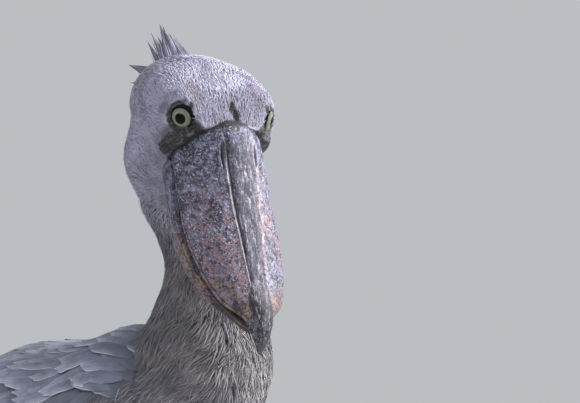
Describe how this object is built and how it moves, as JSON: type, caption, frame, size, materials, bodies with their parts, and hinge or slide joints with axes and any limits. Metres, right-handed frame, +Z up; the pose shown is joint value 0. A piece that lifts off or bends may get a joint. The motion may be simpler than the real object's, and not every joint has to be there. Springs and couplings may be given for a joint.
{
  "type": "shoebill figure",
  "caption": "Life-size standing shoebill, neck drawn back, head turned aside and bowed, with closed broad hooked bill, folded wings and long-toed feet, as a still display model.",
  "frame": {"origin": "on the ground, under the middle of the bird's bounding box", "axes": "+Z up from the ground through the head, -Y the way the chest faces, +X the bird's left"},
  "size_m": [0.2928, 0.7636, 1.0815],
  "materials": {
    "plumage": "soft slate-grey feathers, paler on the head",
    "flight_feather": "dark slate feathers with paler edges",
    "bill_horn": "mottled grey and purplish horn, worn satin, tan along the cutting edges",
    "eye": "wet, pale yellow-grey iris with a black pupil",
    "leg_skin": "dark scaly skin",
    "claw": "dark horn"
  },
  "bodies": {
    "root": {"head": "plumage", "eye_right": "eye", "eye_left": "eye", "bill_upper": "bill_horn", "bill_lower": "bill_horn", "neck": "plumage", "torso": "plumage", "wing_right": "flight_feather", "wing_left": "flight_feather", "tail": "flight_feather", "thigh_right": "plumage", "leg_right": "leg_skin", "foot_right": "leg_skin", "toe_middle_right": "leg_skin", "claw_middle_right": "claw", "toe_inner_right": "leg_skin", "claw_inner_right": "claw", "toe_outer_right": "leg_skin", "claw_outer_right": "claw", "toe_hind_right": "leg_skin", "claw_hind_right": "claw", "thigh_left": "plumage", "leg_left": "leg_skin", "foot_left": "leg_skin", "toe_middle_left": "leg_skin", "claw_middle_left": "claw", "toe_inner_left": "leg_skin", "claw_inner_left": "claw", "toe_outer_left": "leg_skin", "claw_outer_left": "claw", "toe_hind_left": "leg_skin", "claw_hind_left": "claw"}
  },
  "joints": []
}
